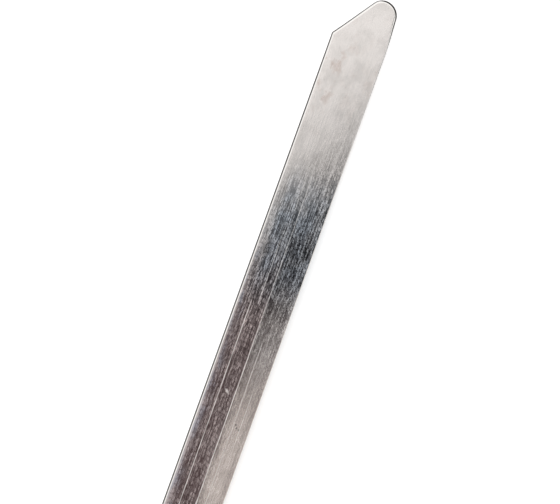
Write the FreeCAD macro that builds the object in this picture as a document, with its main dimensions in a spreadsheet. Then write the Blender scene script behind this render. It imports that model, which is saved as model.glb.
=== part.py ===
"""Flat pry bar: one steel strip with an oblique round nose, run full length through a riveted handle.

The strip is 3 mm spring steel. Its front is bowed down to the bench and ground thin from below, and
its rear is the tang of the handle, between two hardwood scales with fibre liners, steel bolsters and
a struck butt cap. The model is drawn about the tang's middle plane with x = 0 at the bolsters' front
face, the nose towards +X and the short corner of the nose on the +Y side. Lengths are millimetres.
"""

import FreeCAD, Part
import math
import os
import re
import Sketcher

SIZES = (
    # The bar
    ("blade_width", 20.0, "width of the steel strip"),
    ("blade_thickness", 3.0, "thickness of the steel strip"),
    ("free_length", 218.0, "bar in front of the handle"),
    ("nose_angle", 37.0, "oblique cut, degrees from the long side"),
    ("nose_radius", 5.0, "round point on the long side"),
    ("nose_thickness", 1.5, "steel left at the nose by the grind"),
    ("grind_length", 34.0, "underside grind, back from the nose"),
    ("bow_length", 118.0, "bowed front stretch, back from the nose"),
    ("bow_radius", 764.0, "radius of the bow at the strip's middle"),
    ("face_edge_round", 1.0, "rounding of the upper edges"),
    # The handle, in plan
    ("bolster_length", 14.0, "length of the bolsters"),
    ("grip_length", 106.0, "length of the scales"),
    ("cap_length", 16.0, "length of the butt cap"),
    ("front_taper", 6.1, "side of the bolsters, degrees from the bar"),
    ("palm_run", 32.0, "palm swell, back from the bolsters"),
    ("waist_run", 48.0, "waist, back from the palm swell"),
    ("waist_depth", 1.7, "waist on each side, under the swell"),
    ("butt_taper", 3.75, "side of the butt cap, degrees from the bar"),
    # The handle, through its thickness
    ("liner_thickness", 0.8, "fibre liner on each side of the tang"),
    ("scale_thickness", 7.0, "hardwood scale"),
    ("handle_round", 4.5, "rounding of the long outer edges"),
    # Butt cap and tongue
    ("tongue_width", 14.0, "tang's tongue inside the cap"),
    ("tongue_length", 11.0, "tongue, back from the scales"),
    ("strike_chamfer", 1.2, "chamfer round the struck face"),
    ("cap_pin_diameter", 4.0, "pin through the cap and the tongue"),
    ("cap_pin_inset", 6.0, "cap pin, back from the scales"),
    # Cutler's rivets: a headed sleeve from above and a headed stud from below
    ("rivet_count", 2, "rivets along the grip"),
    ("rivet_front_inset", 18.0, "first rivet, back from the bolsters"),
    ("rivet_rear_inset", 50.0, "last rivet, ahead of the cap"),
    ("rivet_head_diameter", 8.5, "flush head of a sleeve or a stud"),
    ("rivet_head_thickness", 1.6, "thickness of that head"),
    ("sleeve_diameter", 5.5, "outside of the sleeve's barrel"),
    ("sleeve_reach", 7.2, "barrel's end below the middle plane"),
    ("stud_diameter", 3.4, "stud inside the sleeve"),
    ("stud_reach", 5.2, "stud's end above the middle plane"),
    ("bore_relief", 0.6, "empty end of the sleeve's bore, past the stud"),
    # Bolster pins
    ("bolster_pin_diameter", 3.0, "plain peened pin"),
    ("bolster_pin_spacing", 7.0, "distance between the two pins"),
    # Hanging hole
    ("hang_bore", 6.0, "bore of the brass tube"),
    ("hang_wall", 1.0, "wall of the brass tube"),
    ("hang_flange", 1.0, "flange at each end of the tube, past its wall"),
    ("hang_flange_thickness", 0.8, "thickness of that flange"),
    ("hang_inset", 13.0, "hanging hole, ahead of the cap"),
    # Clearances
    ("hole_gap", 0.05, "round a pin or barrel in its hole"),
    ("press_gap", 0.02, "round the stud in its sleeve"),
    ("slot_gap", 0.05, "round the tongue in the cap"),
    ("slot_relief", 0.5, "empty end of the cap's slot, past the tongue"),
)

OVERRUN = 2.0  # how far a cutting sketch reaches past the metal it cuts
PARTS_FOLDER = "parts"

doc = FreeCAD.newDocument("pry_bar")
sheet = doc.addObject("Spreadsheet::Sheet", "Sizes")
for row, (alias, number, meaning) in enumerate(SIZES, start=1):
    sheet.set(f"A{row}", meaning)
    sheet.set(f"B{row}", str(number))
    sheet.setAlias(f"B{row}", alias)
doc.recompute()

ALIAS = re.compile(r"\b(" + "|".join(name for name, _, _ in SIZES) + r")\b")


# ---------------------------------------------------------------- expressions on the sheet


def on_sheet(text):
    """The text of an expression, with each size's alias pointing to the sheet."""
    return ALIAS.sub(r"Sizes.\1", text)


def value(text):
    """The number that an expression comes to now."""
    return float(sheet.evalExpression(on_sheet(text)))


# Places along the handle and through it, as expressions.
GRIP_FRONT = "(0 - bolster_length)"
GRIP_REAR = "(0 - bolster_length - grip_length)"
BUTT = "(0 - bolster_length - grip_length - cap_length)"
TANG_HALF = "(blade_thickness / 2)"
SCALE_SEAT = "(blade_thickness / 2 + liner_thickness)"
HANDLE_HALF = "(blade_thickness / 2 + liner_thickness + scale_thickness)"
FIRST_RIVET = f"({GRIP_FRONT} - rivet_front_inset)"
RIVET_RUN = "(grip_length - rivet_front_inset - rivet_rear_inset)"
HANG_X = f"({GRIP_REAR} + hang_inset)"
CAP_PIN_X = f"({GRIP_REAR} - cap_pin_inset)"
BOLSTER_PIN_X = "(0 - bolster_length / 2)"
TONGUE_END = f"({GRIP_REAR} - tongue_length)"

# The handle's outline in plan, from front to rear: straight along the bolsters, an arc up to the palm
# swell, an S of two equal arcs down to the waist, an arc out to the cap, and straight along the cap.
# Neighbours are tangent. The tang, liners, scales, bolsters and cap all follow it.
FRONT_Y = "(blade_width / 2)"
BOLSTER_Y = "(blade_width / 2 + bolster_length * tan(front_taper * 1deg))"
PALM_X = "(0 - bolster_length - palm_run)"
PALM_Y = f"({BOLSTER_Y} + palm_run * tan(front_taper / 2 * 1deg))"
PALM_RADIUS = "(palm_run / sin(front_taper * 1deg))"
WAIST_X = "(0 - bolster_length - palm_run - waist_run)"
WAIST_Y = f"({PALM_Y} - waist_depth)"
S_RADIUS = "((waist_run^2 + waist_depth^2) / (4 * waist_depth))"
MIDWAY_X = "(0 - bolster_length - palm_run - waist_run / 2)"
MIDWAY_Y = f"({PALM_Y} - waist_depth / 2)"
REAR_RUN = "(grip_length - palm_run - waist_run)"
REAR_Y = f"({WAIST_Y} + {REAR_RUN} * tan(butt_taper / 2 * 1deg))"
REAR_RADIUS = f"({REAR_RUN} / sin(butt_taper * 1deg))"
BUTT_Y = f"({REAR_Y} + cap_length * tan(butt_taper * 1deg))"


# ---------------------------------------------------------------- sketches and features


def new_body(label):
    body = doc.addObject("PartDesign::Body", label)
    body.Label = label
    return body


def new_sketch(body, name, plane, x="0", height="0"):
    """A sketch on one of the body's own planes, moved along x and lifted off the plane."""
    sketch = body.newObject("Sketcher::SketchObject", name)
    support = next(f for f in body.Origin.OriginFeatures if f.Role == plane)
    sketch.AttachmentSupport = [(support, "")]
    sketch.MapMode = "FlatFace"
    for axis, text in (("x", x), ("z", height)):
        if text != "0":
            sketch.setExpression(f"AttachmentOffset.Base.{axis}", on_sheet(text))
    return sketch


def pin_point(sketch, geometry, end, x, y):
    """Holds one point of a sketch at two expressions."""
    for kind, text in (("DistanceX", x), ("DistanceY", y)):
        index = sketch.addConstraint(Sketcher.Constraint(kind, -1, 1, geometry, end, value(text)))
        sketch.setExpression(f"Constraints[{index}]", on_sheet(text))


def draw(sketch, start, *steps):
    """Draws a closed outline. A step is (x, y) for a line, or (x, y, radius, turn) for an arc that
    turns left (+1) or right (-1) on its way there. The last step comes back to the start."""
    here = start
    first_end = last_end = None
    for step in steps:
        there = step[:2]
        a = FreeCAD.Vector(value(here[0]), value(here[1]))
        b = FreeCAD.Vector(value(there[0]), value(there[1]))
        if len(step) == 2:
            geometry = sketch.addGeometry(Part.LineSegment(a, b))
            begin, finish = 1, 2
        else:
            radius, turn = value(step[2]), step[3]
            half = (b - a) * 0.5
            rise = math.sqrt(radius**2 - half.Length**2)
            left = FreeCAD.Vector(-half.y, half.x).normalize()
            centre = a + half + left * rise * turn
            circle = Part.Circle(centre, FreeCAD.Vector(0, 0, 1), radius)
            angles = [math.atan2(p.y - centre.y, p.x - centre.x) for p in (a, b)]
            begin, finish = (1, 2) if turn > 0 else (2, 1)
            low, high = angles if turn > 0 else reversed(angles)
            geometry = sketch.addGeometry(Part.ArcOfCircle(circle, low, high))
            index = sketch.addConstraint(Sketcher.Constraint("Radius", geometry, radius))
            sketch.setExpression(f"Constraints[{index}]", on_sheet(step[2]))
        if last_end:
            sketch.addConstraint(Sketcher.Constraint("Coincident", *last_end, geometry, begin))
        else:
            first_end = (geometry, begin)
        pin_point(sketch, geometry, begin, *here)
        last_end = (geometry, finish)
        here = there
    sketch.addConstraint(Sketcher.Constraint("Coincident", *last_end, *first_end))


def draw_circle(sketch, x, y, diameter):
    centre = FreeCAD.Vector(value(x), value(y))
    circle = Part.Circle(centre, FreeCAD.Vector(0, 0, 1), value(diameter) / 2)
    geometry = sketch.addGeometry(circle)
    pin_point(sketch, geometry, 3, x, y)
    index = sketch.addConstraint(Sketcher.Constraint("Diameter", geometry, value(diameter)))
    sketch.setExpression(f"Constraints[{index}]", on_sheet(diameter))


def draw_box(sketch, x0, y0, x1, y1):
    draw(sketch, (x0, y0), (x1, y0), (x1, y1), (x0, y1), (x0, y0))


def must_cut(body, before, feature):
    """Stops the build if a cutting feature has left its piece as it was."""
    if not body.Shape.Volume < before - 1e-6:
        raise RuntimeError(f"{body.Label}: {feature.Name} cuts nothing")


def pad(body, sketch, length, symmetric=False):
    feature = body.newObject("PartDesign::Pad", sketch.Name + "_pad")
    feature.Profile = (sketch, [""])
    feature.SideType = "Symmetric" if symmetric else "One side"
    feature.setExpression("Length", on_sheet(length))
    doc.recompute()
    return feature


def cut_through(body, sketch, depth=None):
    """Cuts both ways from the sketch, right through or to a total depth centred on it."""
    before = body.Shape.Volume
    feature = body.newObject("PartDesign::Pocket", sketch.Name + "_cut")
    feature.Profile = (sketch, [""])
    feature.SideType = "Symmetric"
    if depth is None:
        feature.Type = "ThroughAll"
    else:
        feature.setExpression("Length", on_sheet(depth))
    doc.recompute()
    must_cut(body, before, feature)
    return feature


def cut_down(body, sketch, depth):
    """Cuts from the sketch's plane down into the piece below it."""
    before = body.Shape.Volume
    feature = body.newObject("PartDesign::Pocket", sketch.Name + "_cut")
    feature.Profile = (sketch, [""])
    feature.SideType = "One side"
    feature.setExpression("Length", on_sheet(depth))
    doc.recompute()
    must_cut(body, before, feature)
    return feature


def spin(body, sketch):
    """Turns a half section round the sketch's own upright axis."""
    feature = body.newObject("PartDesign::Revolution", sketch.Name + "_spin")
    feature.Profile = (sketch, [""])
    feature.ReferenceAxis = (sketch, ["V_Axis"])
    feature.Angle = 360
    doc.recompute()
    return feature


def repeat(body, feature, axis, length, count):
    """Repeats features along one of the body's axes, evenly over a length."""
    pattern = body.newObject("PartDesign::LinearPattern", feature.Name + "_row")
    pattern.Originals = [feature]
    line = next(f for f in body.Origin.OriginFeatures if f.Role == axis)
    pattern.Direction = (line, [""])
    pattern.Reversed = axis == "X_Axis"
    pattern.Mode = "Extent"
    pattern.setExpression("Length", on_sheet(length))
    pattern.setExpression("Occurrences", on_sheet(count))
    body.Tip = pattern
    doc.recompute()
    return pattern


def edges_where(feature, wanted):
    """Names of the feature's edges whose sampled points, together, pass a test."""
    edges = enumerate(feature.Shape.Edges, start=1)
    return [f"Edge{index}" for index, edge in edges if wanted(edge.discretize(7))]


def soften(body, feature, names, kind, size):
    """Rounds or chamfers the named edges."""
    before = body.Shape.Volume
    made = body.newObject(kind, feature.Name + "_" + kind.split("::")[1].lower())
    made.Base = (feature, names)
    made.setExpression("Radius" if kind == "PartDesign::Fillet" else "Size", on_sheet(size))
    doc.recompute()
    must_cut(body, before, made)
    return made


def near(a, b, tolerance=1e-4):
    return abs(a - b) < tolerance


# ---------------------------------------------------------------- the handle's shared outline


def draw_grip(sketch):
    """The outline along the scales."""
    draw(
        sketch,
        (GRIP_FRONT, BOLSTER_Y),
        (PALM_X, PALM_Y, PALM_RADIUS, +1),
        (MIDWAY_X, MIDWAY_Y, S_RADIUS, +1),
        (WAIST_X, WAIST_Y, S_RADIUS, -1),
        (GRIP_REAR, REAR_Y, REAR_RADIUS, -1),
        (GRIP_REAR, f"0 - {REAR_Y}"),
        (WAIST_X, f"0 - {WAIST_Y}", REAR_RADIUS, -1),
        (MIDWAY_X, f"0 - {MIDWAY_Y}", S_RADIUS, -1),
        (PALM_X, f"0 - {PALM_Y}", S_RADIUS, +1),
        (GRIP_FRONT, f"0 - {BOLSTER_Y}", PALM_RADIUS, +1),
        (GRIP_FRONT, BOLSTER_Y),
    )


def draw_tapered(sketch, front_x, front_y, rear_x, rear_y):
    """A short straight-sided length of the outline."""
    draw(
        sketch,
        (front_x, front_y),
        (rear_x, rear_y),
        (rear_x, f"0 - {rear_y}"),
        (front_x, f"0 - {front_y}"),
        (front_x, front_y),
    )


def long_outer_edges(feature, *ends):
    """Edges round the handle's flat faces, without the straight ones across it at the given ends."""
    outer = value(HANDLE_HALF)

    def wanted(points):
        flat = all(near(abs(p.z), outer) for p in points)
        across = any(all(near(p.x, value(end)) for p in points) for end in ends)
        return flat and not across

    return edges_where(feature, wanted)


# ---------------------------------------------------------------- the bar


def build_blade():
    """One strip of steel: bowed, ground and round-edged in front, a tang with a tongue behind."""
    body = new_body("blade")

    # Side view: flat from the bolsters, bowed down to the nose and ground thin from below.
    bow_start = "(free_length - bow_length)"
    grind_start = "(free_length - grind_length)"
    end = f"(free_length + {OVERRUN})"
    upper, lower = "(bow_radius + blade_thickness / 2)", "(bow_radius - blade_thickness / 2)"

    def bowed(radius, x):
        return f"(sqrt({radius}^2 - ({x} - {bow_start})^2) - bow_radius)"

    side = new_sketch(body, "side_view", "XZ_Plane")
    draw(
        side,
        ("0", f"0 - {TANG_HALF}"),
        (bow_start, f"0 - {TANG_HALF}"),
        (grind_start, bowed(lower, grind_start), lower, -1),
        (end, f"{bowed(upper, end)} - nose_thickness"),
        (end, bowed(upper, end)),
        (bow_start, TANG_HALF, upper, +1),
        ("0", TANG_HALF),
        ("0", f"0 - {TANG_HALF}"),
    )
    pad(body, side, "blade_width", symmetric=True)

    # Plan view of the nose: all that lies outside the oblique cut and the round point goes.
    centre_x, centre_y = "(free_length - nose_radius)", "(nose_radius - blade_width / 2)"
    slope = "(nose_angle * 1deg)"
    touch_x = f"({centre_x} + nose_radius * sin({slope}))"
    touch_y = f"({centre_y} + nose_radius * cos({slope}))"
    past_x, past_y = f"({end} + {OVERRUN})", f"(blade_width / 2 + {OVERRUN})"
    cut_x = f"({touch_x} - ({past_y} - {touch_y}) / tan({slope}))"
    plan = new_sketch(body, "nose_plan", "XY_Plane")
    draw(
        plan,
        (cut_x, past_y),
        (touch_x, touch_y),
        ("free_length", centre_y, "nose_radius", -1),
        (centre_x, "0 - blade_width / 2", "nose_radius", -1),
        (centre_x, f"0 - {past_y}"),
        (past_x, f"0 - {past_y}"),
        (past_x, past_y),
        (cut_x, past_y),
    )
    nose = cut_through(body, plan)

    # The rim of the upper face is rounded, and the ground underside keeps its working edge.
    def face_z(x):
        reach = max(x - value(bow_start), 0)
        return math.sqrt(value(upper) ** 2 - reach**2) - value("bow_radius")

    def on_rim(points):
        on_face = all(near(p.z, face_z(p.x), 0.002) for p in points)
        across = all(near(p.x, points[0].x) for p in points)
        return on_face and not across

    soften(body, nose, edges_where(nose, on_rim), "PartDesign::Fillet", "face_edge_round")

    # The tang follows the handle's outline and ends in a tongue for the cap.
    root = new_sketch(body, "tang_root_plan", "XY_Plane")
    draw_tapered(root, "0", FRONT_Y, GRIP_FRONT, BOLSTER_Y)
    pad(body, root, "blade_thickness", symmetric=True)
    tang = new_sketch(body, "tang_plan", "XY_Plane")
    draw_grip(tang)
    pad(body, tang, "blade_thickness", symmetric=True)
    tongue = new_sketch(body, "tongue_plan", "XY_Plane")
    draw_box(tongue, TONGUE_END, "0 - tongue_width / 2", GRIP_REAR, "tongue_width / 2")
    pad(body, tongue, "blade_thickness", symmetric=True)

    cut_through(body, bolster_pin_circles(body))
    cut_through(body, cap_pin_circle(body))
    cut_through(body, hang_tube_circle(body))
    first_hole = cut_through(body, sleeve_circle(body))
    repeat(body, first_hole, "X_Axis", RIVET_RUN, "rivet_count")
    return body


# ---------------------------------------------------------------- holes shared by several pieces


def sleeve_circle(body, height="0"):
    sketch = new_sketch(body, body.Label + "_rivet_hole", "XY_Plane", height=height)
    draw_circle(sketch, FIRST_RIVET, "0", "(sleeve_diameter + 2 * hole_gap)")
    return sketch


def hang_tube_circle(body):
    sketch = new_sketch(body, body.Label + "_hang_hole", "XY_Plane")
    draw_circle(sketch, HANG_X, "0", "(hang_bore + 2 * hang_wall + 2 * hole_gap)")
    return sketch


def bolster_pin_circles(body):
    sketch = new_sketch(body, body.Label + "_pin_holes", "XY_Plane")
    for y in ("bolster_pin_spacing / 2", "0 - bolster_pin_spacing / 2"):
        draw_circle(sketch, BOLSTER_PIN_X, y, "(bolster_pin_diameter + 2 * hole_gap)")
    return sketch


def cap_pin_circle(body):
    sketch = new_sketch(body, body.Label + "_cap_pin_hole", "XY_Plane")
    draw_circle(sketch, CAP_PIN_X, "0", "(cap_pin_diameter + 2 * hole_gap)")
    return sketch


# ---------------------------------------------------------------- liners, scales and bolsters

# The pieces on the two sides of the tang are alike: the lower ones are turned over about X.
TURNED_OVER = FreeCAD.Rotation(FreeCAD.Vector(1, 0, 0), 180)


def build_liner(label):
    """A thin fibre sheet between the tang and a scale, with clearance holes for the fixings."""
    body = new_body(label)
    plan = new_sketch(body, label + "_plan", "XY_Plane", height=TANG_HALF)
    draw_grip(plan)
    pad(body, plan, "liner_thickness")
    cut_through(body, hang_tube_circle(body))
    first_hole = cut_through(body, sleeve_circle(body))
    repeat(body, first_hole, "X_Axis", RIVET_RUN, "rivet_count")
    return body


def build_scale(label):
    """One half of the wooden grip, counterbored for the rivets' heads and the tube's flange."""
    body = new_body(label)
    plan = new_sketch(body, label + "_plan", "XY_Plane", height=SCALE_SEAT)
    draw_grip(plan)
    block = pad(body, plan, "scale_thickness")
    edges = long_outer_edges(block, GRIP_FRONT, GRIP_REAR)
    soften(body, block, edges, "PartDesign::Fillet", "handle_round")

    cut_through(body, hang_tube_circle(body))
    flange = new_sketch(body, label + "_flange_seat", "XY_Plane", height=HANDLE_HALF)
    draw_circle(flange, HANG_X, "0", "(hang_bore + 2 * hang_wall + 2 * hang_flange + 2 * hole_gap)")
    cut_down(body, flange, "hang_flange_thickness")

    rivet = sleeve_circle(body, height=HANDLE_HALF)
    doc.recompute()
    before = body.Shape.Volume
    hole = body.newObject("PartDesign::Hole", label + "_counterbore")
    hole.Profile = (rivet, [""])
    doc.recompute()
    hole.DepthType = "ThroughAll"
    hole.HoleCutType = "Counterbore"
    hole.HoleCutCustomValues = True
    hole.setExpression("Diameter", on_sheet("sleeve_diameter + 2 * hole_gap"))
    hole.setExpression("HoleCutDiameter", on_sheet("rivet_head_diameter + 2 * hole_gap"))
    hole.setExpression("HoleCutDepth", on_sheet("rivet_head_thickness"))
    doc.recompute()
    must_cut(body, before, hole)
    repeat(body, hole, "X_Axis", RIVET_RUN, "rivet_count")
    return body


def build_bolster(label):
    """A steel block on the tang, rounded to the grip at its sides and towards the bar."""
    body = new_body(label)
    plan = new_sketch(body, label + "_plan", "XY_Plane", height=TANG_HALF)
    draw_tapered(plan, "0", FRONT_Y, GRIP_FRONT, BOLSTER_Y)
    block = pad(body, plan, "(liner_thickness + scale_thickness)")
    edges = long_outer_edges(block, GRIP_FRONT)
    soften(body, block, edges, "PartDesign::Fillet", "handle_round")
    cut_through(body, bolster_pin_circles(body))
    return body


# ---------------------------------------------------------------- butt cap


def build_cap():
    """The solid steel butt that is struck with a hammer, slotted for the tang's tongue."""
    body = new_body("strike_cap")
    plan = new_sketch(body, "cap_plan", "XY_Plane")
    draw_tapered(plan, GRIP_REAR, REAR_Y, BUTT, BUTT_Y)
    block = pad(body, plan, f"(2 * {HANDLE_HALF})", symmetric=True)
    edges = long_outer_edges(block, GRIP_REAR, BUTT)
    rounded = soften(body, block, edges, "PartDesign::Fillet", "handle_round")

    def round_struck_face(points):
        return all(near(p.x, value(BUTT)) for p in points)

    edges = edges_where(rounded, round_struck_face)
    soften(body, rounded, edges, "PartDesign::Chamfer", "strike_chamfer")

    slot = new_sketch(body, "cap_slot", "XY_Plane")
    half = "(tongue_width / 2 + slot_gap)"
    draw_box(slot, f"{TONGUE_END} - slot_relief", f"0 - {half}", f"{GRIP_REAR} + {OVERRUN}", half)
    cut_through(body, slot, "(blade_thickness + 2 * slot_gap)")
    cut_through(body, cap_pin_circle(body))
    return body


# ---------------------------------------------------------------- rivets, pins and hanging tube


def build_sleeves():
    """Brass sleeves: a flush head above and a barrel that reaches down through both scales."""
    body = new_body("rivet_sleeves")
    section = new_sketch(body, "sleeve_section", "XZ_Plane", x=FIRST_RIVET)
    head, barrel = "rivet_head_diameter / 2", "sleeve_diameter / 2"
    bore, bore_end = "(stud_diameter / 2 + press_gap)", "(stud_reach + bore_relief)"
    under_head = f"({HANDLE_HALF} - rivet_head_thickness)"
    draw(
        section,
        ("0", HANDLE_HALF),
        ("0", bore_end),
        (bore, bore_end),
        (bore, "0 - sleeve_reach"),
        (barrel, "0 - sleeve_reach"),
        (barrel, under_head),
        (head, under_head),
        (head, HANDLE_HALF),
        ("0", HANDLE_HALF),
    )
    repeat(body, spin(body, section), "X_Axis", RIVET_RUN, "rivet_count")
    return body


def build_studs():
    """Brass studs: a flush head below and a shank that is driven up into the sleeve."""
    body = new_body("rivet_studs")
    section = new_sketch(body, "stud_section", "XZ_Plane", x=FIRST_RIVET)
    head, shank = "rivet_head_diameter / 2", "stud_diameter / 2"
    over_head = f"(rivet_head_thickness - {HANDLE_HALF})"
    draw(
        section,
        ("0", f"0 - {HANDLE_HALF}"),
        (head, f"0 - {HANDLE_HALF}"),
        (head, over_head),
        (shank, over_head),
        (shank, "stud_reach"),
        ("0", "stud_reach"),
        ("0", f"0 - {HANDLE_HALF}"),
    )
    repeat(body, spin(body, section), "X_Axis", RIVET_RUN, "rivet_count")
    return body


def build_hang_tube():
    """The brass tube that lines the hanging hole, with a flush flange at both ends."""
    body = new_body("hang_tube")
    section = new_sketch(body, "tube_section", "XZ_Plane", x=HANG_X)
    bore, outside = "(hang_bore / 2)", "(hang_bore / 2 + hang_wall)"
    rim, neck = f"({outside} + hang_flange)", f"({HANDLE_HALF} - hang_flange_thickness)"
    draw(
        section,
        (bore, f"0 - {HANDLE_HALF}"),
        (rim, f"0 - {HANDLE_HALF}"),
        (rim, f"0 - {neck}"),
        (outside, f"0 - {neck}"),
        (outside, neck),
        (rim, neck),
        (rim, HANDLE_HALF),
        (bore, HANDLE_HALF),
        (bore, f"0 - {HANDLE_HALF}"),
    )
    spin(body, section)
    return body


def build_bolster_pins():
    """Two steel pins, peened flush with the bolsters' flat faces."""
    body = new_body("bolster_pins")
    plan = new_sketch(body, "bolster_pin_plan", "XY_Plane")
    draw_circle(plan, BOLSTER_PIN_X, "bolster_pin_spacing / 2", "bolster_pin_diameter")
    pin = pad(body, plan, f"(2 * {HANDLE_HALF})", symmetric=True)
    other = body.newObject("PartDesign::Mirrored", "other_pin")
    other.Originals = [pin]
    middle = next(f for f in body.Origin.OriginFeatures if f.Role == "XZ_Plane")
    other.MirrorPlane = (middle, [""])
    body.Tip = other
    doc.recompute()
    return body


def build_cap_pin():
    """The steel pin through the cap and the tongue, flush on both sides."""
    body = new_body("cap_pin")
    plan = new_sketch(body, "cap_pin_plan", "XY_Plane")
    draw_circle(plan, CAP_PIN_X, "0", "cap_pin_diameter")
    pad(body, plan, f"(2 * {HANDLE_HALF})", symmetric=True)
    return body


# ---------------------------------------------------------------- the whole bar

blade = build_blade()
liner_upper, liner_lower = build_liner("liner_upper"), build_liner("liner_lower")
scale_upper, scale_lower = build_scale("scale_upper"), build_scale("scale_lower")
bolster_upper, bolster_lower = build_bolster("bolster_upper"), build_bolster("bolster_lower")
pieces = [blade, liner_upper, liner_lower, scale_upper, scale_lower, bolster_upper, bolster_lower]
pieces += [build_cap(), build_sleeves(), build_studs(), build_hang_tube()]
pieces += [build_bolster_pins(), build_cap_pin()]

for piece in (liner_lower, scale_lower, bolster_lower):
    piece.Placement = FreeCAD.Placement(FreeCAD.Vector(0, 0, 0), TURNED_OVER)
doc.recompute()

for obj in doc.Objects:
    if {"Invalid", "Error"} & set(obj.State):
        raise RuntimeError(f"{obj.Label}: {obj.State}")
for piece in pieces:
    if piece.Shape.isNull() or not piece.Shape.isValid() or not piece.Shape.Solids:
        raise RuntimeError(f"{piece.Label}: the shape is not a valid solid")

# The origin goes to the middle of the underside of the bounding box.
box = FreeCAD.BoundBox()
for piece in pieces:
    box.add(piece.Shape.optimalBoundingBox(True, False))
shift = FreeCAD.Vector(-box.Center.x, -box.Center.y, -box.ZMin)
for piece in pieces:
    piece.Placement = FreeCAD.Placement(shift, piece.Placement.Rotation)
doc.recompute()

os.makedirs(PARTS_FOLDER, exist_ok=True)
for piece in pieces:
    piece.Shape.exportStep(os.path.join(PARTS_FOLDER, piece.Label + ".step"))
    size = piece.Shape.optimalBoundingBox(True, False)
    print(
        f"{piece.Label}: {len(piece.Shape.Solids)} solid(s), {piece.Shape.Volume:.2f} mm3,",
        f"{size.XLength:.2f} x {size.YLength:.2f} x {size.ZLength:.2f}",
    )
print(f"whole: {box.XLength:.3f} x {box.YLength:.3f} x {box.ZLength:.3f} mm, shift {shift}")
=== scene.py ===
"""Flat pry bar on a pale floor: a brushed steel strip with a riveted hardwood handle.

The object's frame is metres, with +X from the struck butt to the nose and +Z up out of the bar's face.
"""

import math
import random

import bmesh
import bpy
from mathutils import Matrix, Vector


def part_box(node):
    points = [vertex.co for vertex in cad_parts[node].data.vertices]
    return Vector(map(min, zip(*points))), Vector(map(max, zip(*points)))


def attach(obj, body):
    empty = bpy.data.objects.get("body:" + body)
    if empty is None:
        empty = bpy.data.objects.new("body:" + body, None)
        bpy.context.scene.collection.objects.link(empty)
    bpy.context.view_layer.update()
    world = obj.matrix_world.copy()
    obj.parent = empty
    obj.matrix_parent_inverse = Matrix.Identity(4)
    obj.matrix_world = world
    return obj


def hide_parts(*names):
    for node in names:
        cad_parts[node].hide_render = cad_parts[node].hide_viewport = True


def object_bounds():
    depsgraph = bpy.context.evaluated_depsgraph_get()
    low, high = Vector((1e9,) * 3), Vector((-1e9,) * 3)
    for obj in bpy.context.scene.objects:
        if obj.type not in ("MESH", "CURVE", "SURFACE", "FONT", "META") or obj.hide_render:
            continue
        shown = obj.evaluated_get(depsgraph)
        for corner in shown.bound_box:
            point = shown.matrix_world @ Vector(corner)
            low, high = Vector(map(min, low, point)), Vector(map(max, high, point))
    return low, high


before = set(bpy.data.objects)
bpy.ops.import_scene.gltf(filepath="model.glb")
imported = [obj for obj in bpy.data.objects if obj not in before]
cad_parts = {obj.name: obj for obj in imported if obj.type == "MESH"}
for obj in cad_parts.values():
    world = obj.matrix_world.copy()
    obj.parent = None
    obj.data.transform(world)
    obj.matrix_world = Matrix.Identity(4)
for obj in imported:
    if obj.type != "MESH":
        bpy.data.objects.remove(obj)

cad_low, cad_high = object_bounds()
MM = 0.001

# ---------------------------------------------------------------- camera
# A long lens looks straight down on the free end of the bar, which leans to the right and runs out
# of the bottom of the frame. The handle lies outside it.

LEAN = math.radians(19.82)  # the bar's lean from upright in the frame
FRAME_WIDTH = 193.1 * MM  # what the frame takes in, at the bar's face
CAMERA_HEIGHT = 2.0
BEHIND_NOSE = 94.3 * MM  # the lens hangs over a point this far behind the nose
LEFT_OF_MIDDLE = 1.16 * MM  # and this far left of the bar's middle
nose_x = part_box("blade")[1].x
face_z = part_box("blade")[1].z

lens = bpy.data.cameras.new("long_lens")
lens.lens = lens.sensor_width * CAMERA_HEIGHT / FRAME_WIDTH
lens.clip_start = 0.1
lens.clip_end = 40.0
camera = bpy.data.objects.new("camera", lens)
camera.location = (nose_x - BEHIND_NOSE, LEFT_OF_MIDDLE, face_z + CAMERA_HEIGHT)
camera.rotation_euler = (0, 0, LEAN - math.pi / 2)
bpy.context.scene.collection.objects.link(camera)
bpy.context.scene.camera = camera
bpy.context.scene.view_settings.view_transform = "Standard"

# ---------------------------------------------------------------- studio
# A white room with one soft lamp. A dark ceiling patch over the bench, where the camera and its
# stand hang, is what the flat of the bar mirrors; the bowed end mirrors the bright wall beyond it.


def srgb(hexcode):
    """A colour written as sRGB hex, as linear red, green, blue and alpha."""
    parts = [int(hexcode[i : i + 2], 16) / 255 for i in (0, 2, 4)]
    return [c / 12.92 if c <= 0.04045 else ((c + 0.055) / 1.055) ** 2.4 for c in parts] + [1.0]


def add(tree, kind, *inputs, **settings):
    """Adds a shader node and sets its own properties. Inputs are values, sockets or nodes, given in
    the order of its sockets, or by name in a dict."""
    made = tree.nodes.new("ShaderNode" + kind)
    for name, setting in settings.items():
        setattr(made, name, setting)
    sockets = [socket for socket in made.inputs if socket.enabled]
    if inputs and isinstance(inputs[0], dict):
        pairs = [(made.inputs[name], given) for name, given in inputs[0].items()]
    else:
        pairs = zip(sockets, inputs)
    for socket, given in pairs:
        if isinstance(given, bpy.types.Node):
            given = next(output for output in given.outputs if output.enabled)
        if isinstance(given, bpy.types.NodeSocket):
            tree.links.new(given, socket)
        else:
            socket.default_value = given
    return made


SOFT = {"interpolation_type": "SMOOTHSTEP"}  # a soft step between two values

WALL = srgb("FFFFFF")
ZENITH_COOL = srgb("08121E")  # the patch towards the nose, bluish
ZENITH_WARM = srgb("6E5C5D")  # the patch towards the handle, brownish
LOWEST_RISE = 0.02  # directions below this rise are taken to rise this much
PATCH_SKEW = 1.14  # how far askew the patch's edge towards the nose lies
CORNER_SKEW = 1.3  # and its edge towards the bright corner
WINDOW_STRENGTH = 1.4
GLOW_STRENGTH = 0.62  # the room's light on what isn't glossy

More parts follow.
